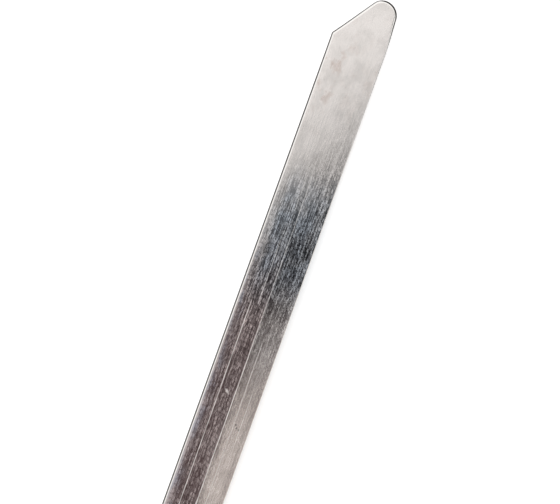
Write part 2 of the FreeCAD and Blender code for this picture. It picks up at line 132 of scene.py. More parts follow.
room = bpy.data.worlds.new("studio")
bpy.context.scene.world = room
room.use_nodes = True
tree = room.node_tree
tree.nodes.clear()
way = add(tree, "TexCoord")
split = add(tree, "SeparateXYZ", way.outputs["Generated"])
# How far a direction leans towards the nose, and towards the bar's right, for each unit it rises.
up = add(tree, "Math", split.outputs["Z"], LOWEST_RISE, operation="MAXIMUM")
along = add(tree, "Math", split.outputs["X"], up, operation="DIVIDE")
aside = add(tree, "Math", split.outputs["Y"], up, operation="DIVIDE")
right = add(tree, "Math", aside, -1.0, operation="MULTIPLY")

# The bright wall beyond the nose. The patch's edge before it lies askew, and bends back on the left.
askew = add(tree, "Math", right, PATCH_SKEW, operation="MULTIPLY")
slanted = add(tree, "Math", along, askew, operation="SUBTRACT")
bent = add(tree, "MapRange", right, -0.008, -0.024, 0.0, 0.030)
slanted = add(tree, "Math", slanted, bent, operation="ADD")
first_light = add(tree, "MapRange", slanted, 0.078, 0.188, 0.0, 0.72, **SOFT)
full_light = add(tree, "MapRange", slanted, 0.14, 0.28, 0.0, 0.28, **SOFT)
nose_side = add(tree, "Math", first_light, full_light, operation="ADD")

# The corner on the right, towards the handle, which has a window in it.
askew = add(tree, "Math", right, CORNER_SKEW, operation="MULTIPLY")
towards_corner = add(tree, "Math", askew, along, operation="SUBTRACT")
past_patch = add(tree, "MapRange", towards_corner, 0.130, 0.160, **SOFT)
on_right = add(tree, "MapRange", right, 0.035, 0.072, **SOFT)
corner_light = add(tree, "Math", past_patch, on_right, operation="MULTIPLY")
high_up = add(tree, "MapRange", right, 0.4, 0.2, **SOFT)
window = add(tree, "Math", corner_light, high_up, operation="MULTIPLY")
window = add(tree, "MapRange", window, 0.0, 1.0, 1.0, WINDOW_STRENGTH)

# Far from the patch all four sides are bright, and the room is dimmer near the floor.
left_side = add(tree, "MapRange", right, -0.25, -0.5, **SOFT)
right_side = add(tree, "MapRange", right, 0.30, 0.7, **SOFT)
handle_side = add(tree, "MapRange", along, -0.22, -0.5, **SOFT)
light = nose_side
for other in (corner_light, left_side, right_side, handle_side):
    light = add(tree, "Math", light, other, operation="MAXIMUM")
warmth = add(tree, "MapRange", along, 0.030, -0.050, **SOFT)
patch = add(tree, "Mix", warmth, ZENITH_COOL, ZENITH_WARM, data_type="RGBA")
seen = add(tree, "Mix", light, patch, WALL, data_type="RGBA")
horizon = add(tree, "MapRange", split.outputs["Z"], LOWEST_RISE, 0.30, 0.35, 1.0, **SOFT)
brightness = add(tree, "Math", horizon, window, operation="MULTIPLY")
mirrored = add(tree, "Background", {"Color": seen, "Strength": brightness})
glow = add(tree, "Background", {"Color": WALL, "Strength": GLOW_STRENGTH})
backdrop = add(tree, "Background", {"Color": WALL, "Strength": 1.0})
ray = add(tree, "LightPath")
gloss = add(tree, "MixShader", ray.outputs["Is Glossy Ray"], glow, mirrored)
camera_ray = ray.outputs["Is Camera Ray"]
clear = add(tree, "Math", camera_ray, ray.outputs["Is Transmission Ray"], operation="MAXIMUM")
both = add(tree, "MixShader", clear, gloss, backdrop)
add(tree, "OutputWorld", {"Surface": both})

LAMP_PLACE = (0.35, 0.45, 2.6)
LAMP_AIM = (0.05, 0, 0)
soft_box = bpy.data.lights.new("soft_box", "AREA")
soft_box.shape = "DISK"
soft_box.size = 1.4
soft_box.energy = 30.0
key = bpy.data.objects.new("soft_box", soft_box)
key.location = LAMP_PLACE
key.rotation_euler = (Vector(LAMP_AIM) - key.location).to_track_quat("-Z", "Y").to_euler()
key.visible_glossy = False
bpy.context.scene.collection.objects.link(key)

# The floor: matt white board. It mirrors nothing and keeps the object's soft shadow.
FLOOR_REACH = 9.0
FLOOR_GAP = 0.0002  # it lies this far under the object's lowest point
board = bmesh.new()
bmesh.ops.create_grid(board, x_segments=2, y_segments=2, size=FLOOR_REACH)
bmesh.ops.translate(board, verts=board.verts, vec=(0, 0, cad_low.z - FLOOR_GAP))
floor_mesh = bpy.data.meshes.new("floor")
board.to_mesh(floor_mesh)
board.free()
floor = bpy.data.objects.new("floor", floor_mesh)
bpy.context.scene.collection.objects.link(floor)


def new_material(name):
    """A material with an empty tree, which the lines after it fill."""
    made = bpy.data.materials.new(name)
    made.use_nodes = True
    made.node_tree.nodes.clear()
    return made


FLOOR_LIFT = 0.44  # brings the board up to white for the camera and in reflections
floor_paint = new_material("matt_white_board")
tree = floor_paint.node_tree
paint = add(tree, "BsdfDiffuse", {"Color": srgb("E6E6E6")})
lift = add(tree, "Emission", {"Color": WALL, "Strength": FLOOR_LIFT})
ray = add(tree, "LightPath")
lifted = add(tree, "AddShader", paint, lift)
camera_ray = ray.outputs["Is Camera Ray"]
seen_by = add(tree, "Math", camera_ray, ray.outputs["Is Glossy Ray"], operation="MAXIMUM")
seen_by = add(tree, "Math", seen_by, ray.outputs["Is Transmission Ray"], operation="MAXIMUM")
face = add(tree, "MixShader", seen_by, paint, lifted)
add(tree, "OutputMaterial", {"Surface": face})
floor_mesh.materials.append(floor_paint)

# ---------------------------------------------------------------- the bar
# One strip of 3 mm spring steel. Its end is sheared obliquely and its point ground round, the front
# is bowed down over a former, and the underside of the nose is ground thin on a belt.

BAR_WIDTH = 20.0 * MM
BAR_THICKNESS = 3.0 * MM
NOSE_RADIUS = 5.0 * MM
NOSE_ANGLE = math.radians(37.0)
NOSE_THICKNESS = 1.5 * MM
BOW_RADIUS = 764.0 * MM
BOW_LENGTH = 118.0 * MM
GRIND_LENGTH = 34.0 * MM
GRIND_OVERRUN = 2.0 * MM  # the grind is aimed at a point this far past the nose
FACE_ROUND = 1.0 * MM
UNDER_ROUND = 0.25 * MM
RIDGE_Y = -0.75 * MM  # the strip's two ground bands meet here, near the middle
RIDGE_DRIFT = 0.004  # and the line wanders this much per length
LEFT_CROWN = math.radians(0.6)
RIGHT_FACET = math.radians(1.4)
RIGHT_CROWN = math.radians(0.95)
FACET_GROWS = (60 * MM, 165 * MM)  # behind the nose, where the facet starts and where it is full
CLAMP_FADE = 14 * MM  # the belt's crown and facet die out this near the bolsters
NOSE_LEAN = 0.95 * MM  # the point is ground a little to the left
LEAN_STARTS = 19 * MM  # from this far behind the nose
WORN_ROUND = 0.3  # the right edge keeps this share of its rounding, for it was ground last
WORN_GROWS = (4 * MM, 16 * MM)  # behind the nose, where that wear starts and where it is full
ARC_STEPS = 40
SAME_LEVEL = 1e-6  # points this near a plane lie in it
MERGE = 1e-7  # points closer than this are one

bolster_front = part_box("bolster_upper")[1].x
mid_z = face_z - BAR_THICKNESS / 2
bow_start = nose_x - BOW_LENGTH
grind_start = nose_x - GRIND_LENGTH
bar_rear = bolster_front - 1.0 * MM  # the bar starts just inside the bolsters
half = BAR_WIDTH / 2

# The outline: round the nose's centre, out to the short corner, and back along both sides.
bar = bmesh.new()
nose_centre = Vector((nose_x - NOSE_RADIUS, NOSE_RADIUS - half, 0))
first = bar.verts.new((nose_centre.x, -half, 0))
sweep = math.pi - NOSE_ANGLE
arc = bmesh.ops.spin(
    bar, geom=[first], cent=nose_centre, axis=(0, 0, 1), dvec=(0, 0, 0), angle=sweep, steps=ARC_STEPS
)
last = arc["geom_last"][0]
touch = last.co.copy()
corner = bar.verts.new((touch.x - (half - touch.y) / math.tan(NOSE_ANGLE), half, 0))
rear = [bar.verts.new((bar_rear, y, 0)) for y in (half, -half)]
for a, b in ((last, corner), (corner, rear[0]), (rear[0], rear[1]), (rear[1], first)):
    bar.edges.new((a, b))
bmesh.ops.contextual_create(bar, geom=bar.edges[:])
slab = bmesh.ops.extrude_face_region(bar, geom=bar.faces[:])
top = [v for v in slab["geom"] if isinstance(v, bmesh.types.BMVert)]
bmesh.ops.translate(bar, verts=top, vec=(0, 0, BAR_THICKNESS))
bmesh.ops.recalc_face_normals(bar, faces=bar.faces[:])


def rim(mesh, z):
    """Edges round the slab at one height, apart from the cut end inside the bolsters."""
    return [
        e
        for e in mesh.edges
        if all(abs(v.co.z - z) < SAME_LEVEL for v in e.verts)
        and not all(abs(v.co.x - bar_rear) < SAME_LEVEL for v in e.verts)
    ]


for z, size, segments in ((BAR_THICKNESS, FACE_ROUND, 8), (0.0, UNDER_ROUND, 3)):
    bmesh.ops.bevel(
        bar,
        geom=rim(bar, z),
        offset=size,
        offset_type="OFFSET",
        affect="EDGES",
        segments=segments,
        profile=0.5,
        material=-1,
        clamp_overlap=True,
    )


def slice_at(mesh, point, normal):
    """Cuts a mesh along a plane and keeps both sides."""
    geometry = mesh.verts[:] + mesh.edges[:] + mesh.faces[:]
    bmesh.ops.bisect_plane(mesh, geom=geometry, dist=MERGE, plane_co=point, plane_no=normal)


# Cuts along and across the strip let it bow and crown smoothly. They are closer in the bow.
LONG_CUTS = (-8.4, -7.2, -5.6, -4.0, -2.6, 1.0, 3.0, 5.0, 7.0, 8.4)  # in mm from the bar's middle
BOW_CUTS = 80
FLAT_CUTS = 40
BOW_LEAD = 20 * MM  # the closer cuts start this far behind the bow
slice_at(bar, (bow_start, RIDGE_Y, 0), (-RIDGE_DRIFT, 1, 0))
for y in LONG_CUTS:
    slice_at(bar, (0, y * MM, 0), (0, 1, 0))
for i in range(BOW_CUTS):
    slice_at(bar, (bow_start - BOW_LEAD + i * (BOW_LENGTH + BOW_LEAD) / BOW_CUTS, 0, 0), (1, 0, 0))
for i in range(1, FLAT_CUTS):
    slice_at(bar, (bar_rear + i * (bow_start - BOW_LEAD - bar_rear) / FLAT_CUTS, 0, 0), (1, 0, 0))


def bow_drop(x, radius):
    """The height of a bowed face over the middle of the strip; a radius for each face."""
    reach = max(x - bow_start, 0.0)
    return math.sqrt(radius**2 - reach**2) - BOW_RADIUS


def ease(value, start, end):
    """A soft step from 0 to 1."""
    part = min(max((value - start) / (end - start), 0.0), 1.0)
    return part * part * (3 - 2 * part)


# Every point goes to its share of the thickness between the crowned face and the ground underside.
upper_radius = BOW_RADIUS + BAR_THICKNESS / 2
lower_radius = BOW_RADIUS - BAR_THICKNESS / 2
grind_end = nose_x + GRIND_OVERRUN
thin_end = bow_drop(grind_end, upper_radius) - NOSE_THICKNESS
rounded = FACE_ROUND * 1.01  # anything this near a top edge is part of its rounding
for v in bar.verts:
    share = v.co.z / BAR_THICKNESS
    y = v.co.y - RIDGE_Y - RIDGE_DRIFT * (v.co.x - bow_start)
    ridge = ease(v.co.x, nose_x - FACET_GROWS[0], nose_x - FACET_GROWS[1])
    if y > 0:
        crown = LEFT_CROWN * y * y / (2 * half)
    else:
        crown = RIGHT_FACET * ridge * -y + RIGHT_CROWN * y * y / (2 * half)
    crown *= ease(v.co.x, bolster_front + 1 * MM, bolster_front + CLAMP_FADE)
    upper = bow_drop(v.co.x, upper_radius) - crown
    ground = min(max((v.co.x - grind_start) / (grind_end - grind_start), 0.0), 1.0)
    lower = bow_drop(min(v.co.x, grind_start), lower_radius)
    lower = lower + ground * (thin_end - lower)
    # The rounding of the right edge is drawn in towards its corner.
    worn = ease(v.co.x, nose_x - WORN_GROWS[0], nose_x - WORN_GROWS[1])
    worn *= ease(v.co.x, bolster_front + 2 * MM, bolster_front + CLAMP_FADE)
    keep = 1 - (1 - WORN_ROUND) * worn
    from_side = v.co.y + half
    under_face = (1 - share) * BAR_THICKNESS
    if from_side < rounded and under_face < rounded:
        v.co.y = from_side * keep - half
        share = 1 - under_face * keep / BAR_THICKNESS
    v.co.y += NOSE_LEAN * ease(v.co.x, nose_x - LEAN_STARTS, nose_x + 6 * MM)
    v.co.z = mid_z + lower + share * (upper - lower)

bar_mesh = bpy.data.meshes.new("bar")
bar.to_mesh(bar_mesh)
bar.free()
strip = bpy.data.objects.new("bar", bar_mesh)
bpy.context.scene.collection.objects.link(strip)
bar_mesh.shade_smooth()
bar_mesh.set_sharp_from_angle(angle=math.radians(50))
even = strip.modifiers.new("even_normals", "WEIGHTED_NORMAL")
even.keep_sharp = True
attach(strip, "root")

# The tang: the same strip inside the handle, with its own holes.
tang_core = bmesh.new()
tang_core.from_mesh(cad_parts["blade"].data)
bmesh.ops.remove_doubles(tang_core, verts=tang_core.verts[:], dist=MERGE)
geometry = tang_core.verts[:] + tang_core.edges[:] + tang_core.faces[:]
cut = bmesh.ops.bisect_plane(
    tang_core, geom=geometry, dist=MERGE, plane_co=(bar_rear, 0, 0), plane_no=(1, 0, 0), clear_outer=True
)
open_edges = [e for e in cut["geom_cut"] if isinstance(e, bmesh.types.BMEdge)]
bmesh.ops.holes_fill(tang_core, edges=open_edges, sides=0)
tang_mesh = bpy.data.meshes.new("tang")
tang_core.to_mesh(tang_mesh)
tang_core.free()
tang_mesh.shade_smooth()
tang_mesh.set_sharp_from_angle(angle=math.radians(30))
tang = bpy.data.objects.new("tang", tang_mesh)
bpy.context.scene.collection.objects.link(tang)
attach(tang, "root")
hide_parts("blade")
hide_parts("blade")

# Spring steel strip, cold rolled and belt ground along its length. It mirrors broad lights and darks
# with soft edges, shows fine lengthwise flecks and a few long die lines, and has handling stains.
bar_steel = new_material("belt_ground_spring_steel")
tree = bar_steel.node_tree
coordinates = add(tree, "TexCoord")
place = coordinates.outputs["Object"]
split = add(tree, "SeparateXYZ", place)
from_nose = add(tree, "Math", nose_x, split.outputs["X"], operation="SUBTRACT")
behind_bow = add(tree, "Math", from_nose, BOW_LENGTH, operation="SUBTRACT")
drift = add(tree, "Math", behind_bow, -RIDGE_DRIFT, operation="MULTIPLY")
ridge_at = add(tree, "Math", drift, RIDGE_Y, operation="ADD")
from_ridge = add(tree, "Math", split.outputs["Y"], ridge_at, operation="SUBTRACT")
normal = add(tree, "SeparateXYZ", coordinates.outputs["Normal"])


def stretched(length, width, detail=2.0, shift=0.0, slide=0.0, rough=0.5):
    """Noise drawn out along the tool, in the tree and place of the material in hand: one grain is
    about length by width. A shift picks another part of it, and a slide moves it sideways."""
    size = (1 / length, 1 / width, 1 / width)
    offset = (shift, shift + slide, 0)
    mapping = add(tree, "Mapping", {"Vector": place, "Scale": size, "Location": offset})
    noise = add(tree, "TexNoise", {"Vector": mapping, "Scale": 1.0, "Detail": detail, "Roughness": rough})
    return noise.outputs["Fac"]


def rise_and_fall(distance, rise, fall):
    """Two soft steps multiplied: each is where it starts and ends, and its two values if not 0 and 1."""
    risen = add(tree, "MapRange", distance, *rise, **SOFT)
    fallen = add(tree, "MapRange", distance, *fall, **SOFT)
    return add(tree, "Math", risen, fallen, operation="MULTIPLY")


def line_at(y, width, start, end):
    """A long line at one distance from the ridge, between two distances from the nose."""
    off = add(tree, "Math", from_ridge, y, operation="SUBTRACT")
    off = add(tree, "Math", off, operation="ABSOLUTE")
    line = add(tree, "MapRange", off, width, width * 0.3, **SOFT)
    ends = rise_and_fall(from_nose, (start, start + 6 * MM), (end, end - 9 * MM))
    return add(tree, "Math", line, ends, operation="MULTIPLY")


def strokes(length, width, seed):
    """Random strengths from 0 to 1 in straight strokes along the bar, each with soft ends."""
    row = add(tree, "Math", split.outputs["Y"], width, operation="DIVIDE")
    row = add(tree, "Math", row, operation="FLOOR")
    row = add(tree, "Math", row, seed, operation="ADD")
    stagger = add(tree, "TexWhiteNoise", {"W": row}, noise_dimensions="1D").outputs["Value"]
    stagger = add(tree, "Math", stagger, 90.0, operation="MULTIPLY")
    run = add(tree, "Math", split.outputs["X"], length, operation="DIVIDE")
    run = add(tree, "Math", run, stagger, operation="ADD")
    stroke = add(tree, "CombineXYZ", row, add(tree, "Math", run, operation="FLOOR"), seed)
    strength = add(tree, "TexWhiteNoise", {"Vector": stroke}, noise_dimensions="3D").outputs["Value"]
    to_end = add(tree, "Math", run, 0.5, operation="PINGPONG")
    soft_ends = add(tree, "MapRange", to_end, 0.0, 0.2, **SOFT)
    return add(tree, "Math", strength, soft_ends, operation="MULTIPLY")


# The belt's marks: short flecks and long hairlines, drawn a few times wider than real grit leaves
# them, so that they show.
flecks = strokes(1.7 * MM, 0.29 * MM, 4.0)
hairlines = strokes(24 * MM, 0.33 * MM, 9.0)
flecked = add(tree, "Math", flecks, 0.64, operation="MULTIPLY")
haired = add(tree, "Math", hairlines, 0.52, operation="MULTIPLY")
brushing = add(tree, "Math", flecked, haired, operation="ADD")

# Die lines: one down the ridge, and five fainter ones. Each has how far it is from the ridge, with
# the left above 0, how far behind the nose it starts and ends, all in mm, and its strength.
DIE_LINES = (
    (5.5, 112, 230, 0.85),
    (-3.0, 122, 190, 0.5),
    (-5.6, 140, 165, 0.4),
    (3.0, 86, 118, 0.5),
    (1.8, 60, 84, 0.4),
)
strengthening = add(tree, "MapRange", from_nose, 110 * MM, 145 * MM, 0.45, 1.0, **SOFT)
ridge_line = line_at(0.0, 0.18 * MM, 62 * MM, 400 * MM)
die_lines = add(tree, "Math", ridge_line, strengthening, operation="MULTIPLY")
for y, start, end, strength in DIE_LINES:
    line = line_at(y * MM, 0.15 * MM, start * MM, end * MM)
    line = add(tree, "Math", line, strength, operation="MULTIPLY")
    die_lines = add(tree, "Math", die_lines, line, operation="MAXIMUM")
broken = add(tree, "MapRange", stretched(5 * MM, 2 * MM, shift=21.0), 0.35, 0.55, 0.6, 1.0, **SOFT)
die_lines = add(tree, "Math", die_lines, broken, operation="MULTIPLY")

# Tints: warm over most of the face, cool in patches along the left edge towards the handle and in
# the middle where the bow starts, and greyer in clouds.
near_left = add(tree, "MapRange", from_ridge, 6.0 * MM, 9.0 * MM, **SOFT)
past_bow = add(tree, "MapRange", from_nose, 70 * MM, 110 * MM, **SOFT)
cool = add(tree, "Math", near_left, past_bow, operation="MULTIPLY")
patchy = stretched(7 * MM, 2.2 * MM, detail=3.0, shift=14.0)
patchy = add(tree, "MapRange", patchy, 0.42, 0.60, 0.2, 0.85, **SOFT)
cool = add(tree, "Math", cool, patchy, operation="MULTIPLY")
blued = rise_and_fall(from_nose, (60 * MM, 84 * MM), (120 * MM, 96 * MM))
not_at_edge = add(tree, "MapRange", from_ridge, 5.5 * MM, 8.5 * MM, 1.0, 0.3, **SOFT)
blued = add(tree, "Math", blued, not_at_edge, operation="MULTIPLY")
cool = add(tree, "Math", cool, blued, operation="MAXIMUM")
tinted = add(tree, "Mix", cool, srgb("EFE9E5"), srgb("D0D8E2"), data_type="RGBA")
cloud = stretched(9 * MM, 6 * MM, detail=5.0, shift=9.1, rough=0.65)
cloud = add(tree, "MapRange", cloud, 0.38, 0.65, 0.0, 0.5, **SOFT)
clouded = add(tree, "Mix", cloud, tinted, srgb("CFCAC6"), data_type="RGBA")

# Pinkish stains, where fingers hold the bar near its nose.
smudge = stretched(7.5 * MM, 5.0 * MM, detail=6.0, shift=4.39, slide=0.61, rough=0.68)
near_nose = rise_and_fall(from_nose, (56 * MM, 30 * MM, 0.05, 0.6), (12 * MM, 22 * MM, 0.25, 1.0))
handled = add(tree, "MapRange", from_ridge, -3 * MM, 5 * MM, 0.35, 1.0, **SOFT)
near_nose = add(tree, "Math", near_nose, handled, operation="MULTIPLY")
smudged = add(tree, "MapRange", smudge, 0.50, 0.68, **SOFT)
stain = add(tree, "Math", smudged, near_nose, operation="MULTIPLY")
stained = add(tree, "Mix", stain, clouded, srgb("D3C0B6"), data_type="RGBA")

# The band left of the ridge is painted a little darker towards the handle, a painted dark reflection with a
# pinkish tint, and the one right of it warmer.
left_of = add(tree, "MapRange", from_ridge, -0.1 * MM, 0.1 * MM, **SOFT)
towards_handle = add(tree, "MapRange", from_nose, 80 * MM, 130 * MM, **SOFT)
# Painted shade: the left band is darkened where the face mirrors the dark patch.
painted_shade_band = add(tree, "Math", left_of, towards_handle, operation="MULTIPLY")
shaded = add(tree, "Mix", 1.0, stained, srgb("E9DFE0"), data_type="RGBA", blend_type="MULTIPLY")
ground = add(tree, "Mix", painted_shade_band, stained, shaded, data_type="RGBA")
# Warmer right of the ridge towards the handle.
rear_part = add(tree, "MapRange", from_nose, 122 * MM, 150 * MM, **SOFT)
warm_right_rear = add(tree, "Math", left_of, rear_part, operation="SUBTRACT")
warm_right_rear = add(tree, "Math", warm_right_rear, -1.0, operation="MULTIPLY", use_clamp=True)
warm_tint = add(tree, "Mix", 1.0, ground, srgb("FFFAF6"), data_type="RGBA", blend_type="MULTIPLY")
ground = add(tree, "Mix", warm_right_rear, ground, warm_tint, data_type="RGBA")

# The belt's marks are strong in the middle of the bar, weaker towards the handle and at the left
# edge, and faint at the nose and on the rear right.
marks_and_glints = rise_and_fall(from_nose, (55 * MM, 88 * MM, 0.10, 1.0), (92 * MM, 150 * MM, 1.0, 0.60))
right_of = add(tree, "MapRange", from_ridge, 1.0 * MM, -2.0 * MM, **SOFT)
rear_part = add(tree, "MapRange", from_nose, 105 * MM, 140 * MM, **SOFT)
smoother = add(tree, "Math", right_of, rear_part, operation="MULTIPLY")
smoothed = add(tree, "MapRange", smoother, 0.0, 1.0, 1.0, 0.35)
marks_and_glints = add(tree, "Math", marks_and_glints, smoothed, operation="MULTIPLY")
not_at_edge = add(tree, "MapRange", from_ridge, 6.0 * MM, 9.0 * MM, 1.0, 0.45, **SOFT)
marks_and_glints = add(tree, "Math", marks_and_glints, not_at_edge, operation="MULTIPLY")
# In the colour the marks are partly real and partly painted glints and painted shade, strongest where the
# face mirrors the dark patch.
glint_and_shade_streak = add(tree, "MapRange", brushing, 0.1, 0.95, 0.28, 1.10)
glint_and_shade_streak = add(tree, "Mix", marks_and_glints, 1.0, glint_and_shade_streak, data_type="FLOAT")
# Right of the ridge round the start of the bow the face is painted darker, a painted dark reflection.
beside = rise_and_fall(from_ridge, (-0.2 * MM, -0.8 * MM), (-8.5 * MM, -6.0 * MM))
painted_shade_by_ridge = rise_and_fall(from_nose, (74 * MM, 90 * MM), (165 * MM, 138 * MM))
painted_shade_by_ridge = add(tree, "Math", beside, painted_shade_by_ridge, operation="MULTIPLY")
darkened = add(tree, "MapRange", painted_shade_by_ridge, 0.0, 1.0, 1.0, 0.82)
glint_and_shade_streak = add(tree, "Math", glint_and_shade_streak, darkened, operation="MULTIPLY")
streaked_and_shaded = add(tree, "Mix", 1.0, ground, glint_and_shade_streak, blend_type="MULTIPLY", data_type="RGBA")

# A nail has nicked the face once: two short strokes that cross.
NICK_CENTRE = (nose_x - 145.6 * MM, 2.1 * MM, 0.0)
NICK_WIDTH = 0.62 * MM
nick = None
for turn, length in ((-0.85, 1.7 * MM), (0.40, 0.9 * MM)):
    shifted = add(tree, "VectorMath", place, NICK_CENTRE, operation="SUBTRACT")
    turned = add(tree, "VectorRotate", {"Vector": shifted, "Angle": turn}, rotation_type="Z_AXIS")
    stroke = add(tree, "VectorMath", turned, (1 / length, 1 / NICK_WIDTH, 0.0), operation="MULTIPLY")
    reach = add(tree, "VectorMath", stroke, operation="LENGTH").outputs["Value"]
    mark = add(tree, "MapRange", reach, 1.0, 0.1, **SOFT)
    nick = mark if nick is None else add(tree, "Math", nick, mark, operation="MAXIMUM")
nick = add(tree, "Math", nick, 0.55, operation="MULTIPLY")
die_lines = add(tree, "Math", die_lines, nick, operation="MAXIMUM")
# Three small pits in a row, where scale was rolled in: mm behind the nose, and mm across the bar.
PITS = ((155.6, -4.7), (156.6, -5.3), (157.0, -6.2))
pits = None
for x, y in PITS:
    pit = (nose_x - x * MM, y * MM, face_z)
    reach = add(tree, "VectorMath", place, pit, operation="DISTANCE").outputs["Value"]
    mark = add(tree, "MapRange", reach, 0.50 * MM, 0.15 * MM, 0.0, 0.6, **SOFT)
    pits = mark if pits is None else add(tree, "Math", pits, mark, operation="MAXIMUM")
lined = add(tree, "Mix", die_lines, streaked_and_shaded, srgb("F4F0EC"), data_type="RGBA")
lined = add(tree, "Mix", pits, lined, srgb("5A5552"), data_type="RGBA")

# The rounded edges are burnished and painted lighter, partly a painted highlight. The left edge and the
# oblique end are painted dark where they round over, a painted reflection, and so is the ground arc of the
# nose, fading along the right edge. Upright walls are painted pale.
facing = add(tree, "Math", normal.outputs["Z"], operation="ABSOLUTE")
leftwards = add(tree, "Math", normal.outputs["Y"], 0.0, operation="MAXIMUM")
leftwards = add(tree, "Math", leftwards, 0.2, operation="MULTIPLY")
turned_over = add(tree, "Math", facing, leftwards, operation="SUBTRACT")
wall = add(tree, "MapRange", turned_over, 0.85, 0.60, **SOFT)
right_wall = add(tree, "MapRange", normal.outputs["Y"], -0.2, -0.5, **SOFT)
free_length = nose_x - bolster_front
in_grip = add(tree, "MapRange", from_nose, free_length - 30 * MM, free_length, **SOFT)
upright = add(tree, "MapRange", facing, 0.40, 0.20, **SOFT)
pale_wall = add(tree, "Math", right_wall, in_grip, operation="MAXIMUM")
pale_wall = add(tree, "Math", pale_wall, upright, operation="MAXIMUM")
# Painted shade: dark on the left edge and the oblique end where they turn over, pale on the right edge,
# upright walls and near the bolsters.
painted_wall_shade = add(tree, "Mix", pale_wall, srgb("353332"), srgb("B4AFA9"), data_type="RGBA")
# Partly real burnish and partly a painted highlight: the edges' rounding is lightened.
burnish_and_highlight = add(tree, "MapRange", facing, 0.995, 0.96, **SOFT)
edged = add(tree, "Mix", burnish_and_highlight, lined, srgb("FFFCF8"), data_type="RGBA")
walled = add(tree, "Mix", wall, edged, painted_wall_shade, data_type="RGBA")
# Painted dark reflection: the nose's arc, facing forwards and right, is painted near black, fading back
# along the right edge.
forwards = add(tree, "Math", normal.outputs["X"], 0.9, operation="MULTIPLY")
rightwards = add(tree, "Math", normal.outputs["Y"], 0.55, operation="MULTIPLY")
forwards = add(tree, "Math", forwards, rightwards, operation="SUBTRACT")
nose_rim_shade = add(tree, "MapRange", forwards, 0.30, 0.46, **SOFT)
fading = add(tree, "MapRange", from_nose, 95 * MM, 12 * MM, **SOFT)
nose_rim_shade = add(tree, "Math", nose_rim_shade, fading, operation="MULTIPLY")
not_upright = add(tree, "Math", 1.0, upright, operation="SUBTRACT")
nose_rim_shade = add(tree, "Math", nose_rim_shade, not_upright, operation="MULTIPLY")
steel_colour = add(tree, "Mix", nose_rim_shade, walled, srgb("2A2826"), data_type="RGBA")

# Polished by the belt, duller in its marks, the stains, the die lines and along the left edge.
rough = add(tree, "MapRange", brushing, 0.0, 1.0, 0.11, 0.25)
line_rough = add(tree, "Math", die_lines, 0.40, operation="MULTIPLY")
rough = add(tree, "Math", rough, line_rough, operation="ADD")
stain_rough = add(tree, "MapRange", stain, 0.0, 1.0, 0.0, 0.10, **SOFT)
rough = add(tree, "Math", rough, stain_rough, operation="ADD")
at_edge = add(tree, "MapRange", from_ridge, 7.9 * MM, 9.9 * MM, **SOFT)
edge_rough = add(tree, "MapRange", from_nose, 60 * MM, 85 * MM, 0.0, 0.09, **SOFT)
edge_rough = add(tree, "Math", at_edge, edge_rough, operation="MULTIPLY")
rough = add(tree, "Math", rough, edge_rough, operation="ADD")
rubbed = add(tree, "MapRange", from_ridge, 9.2 * MM, 10.2 * MM, 0.0, 0.30, **SOFT)
rough = add(tree, "Math", rough, rubbed, operation="ADD")
rough = add(tree, "Mix", wall, rough, 0.40, data_type="FLOAT")

# Each stroke lies at a slope of its own, so that neighbours mirror different parts of the room.
slope = add(tree, "MapRange", brushing, 0.1, 0.85, -0.009, 0.009)
slope = add(tree, "CombineXYZ", slope)
slope = add(tree, "VectorTransform", slope, convert_from="OBJECT", convert_to="WORLD")
tilted = add(tree, "VectorMath", add(tree, "NewGeometry").outputs["Normal"], slope, operation="ADD")
tilted = add(tree, "VectorMath", tilted, operation="NORMALIZE")
line_relief = add(tree, "Math", die_lines, 1.5, operation="MULTIPLY")
relief = add(tree, "Math", brushing, line_relief, operation="ADD")
bump = add(tree, "Bump", {"Strength": 1.0, "Distance": 0.003 * MM, "Height": relief, "Normal": tilted})
finish = {"Metallic": 1.0, "Roughness": rough, "Normal": bump}
surface = add(tree, "BsdfPrincipled", {"Base Color": steel_colour, **finish})
add(tree, "OutputMaterial", {"Surface": surface})
for mesh in (bar_mesh, tang_mesh):
    mesh.materials.clear()
    mesh.materials.append(bar_steel)

# ---------------------------------------------------------------- the liners
# Two strips of vulcanised fibre, one on each face of the tang. They are punched to the tang's outline
# and holes, glued down, and sanded flush with the wood at their edges.


def dress(material, *names):
    """Puts a material on solids of the model."""
    for name in names:
        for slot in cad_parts[name].material_slots:
            slot.material = material


# Vulcanised fibre: pressed cotton paper, dyed right through. It is dull, mottled and near black,
# with short pale fibres lying along it, drawn thick enough to show.
fibre = new_material("vulcanised_fibre")
tree = fibre.node_tree
place = add(tree, "TexCoord").outputs["Object"]
strands = add(tree, "MapRange", stretched(3.0 * MM, 0.15 * MM, detail=3.0), 0.50, 0.72, **SOFT)
mottle = stretched(4.0 * MM, 3.0 * MM, detail=4.0, shift=2.0)
mottled = add(tree, "Mix", mottle, srgb("2A2423"), srgb("443937"), data_type="RGBA")
pale_strands = add(tree, "Math", strands, 0.35, operation="MULTIPLY")
paper = add(tree, "Mix", pale_strands, mottled, srgb("7A6A62"), data_type="RGBA")
dull = add(tree, "MapRange", strands, 0.0, 1.0, 0.66, 0.82)
bump = add(tree, "Bump", {"Strength": 0.6, "Distance": 0.02 * MM, "Height": strands})
surface = add(tree, "BsdfPrincipled", {"Base Color": paper, "Roughness": dull, "Normal": bump})
add(tree, "OutputMaterial", surface)
dress(fibre, "liner_upper", "liner_lower")

# ---------------------------------------------------------------- the scales
# Two slabs of hardwood with the grain along the handle, sawn from one billet. They are counterbored
# for the rivets, glued to the liners, shaped on a belt with the bar between them, and oiled.

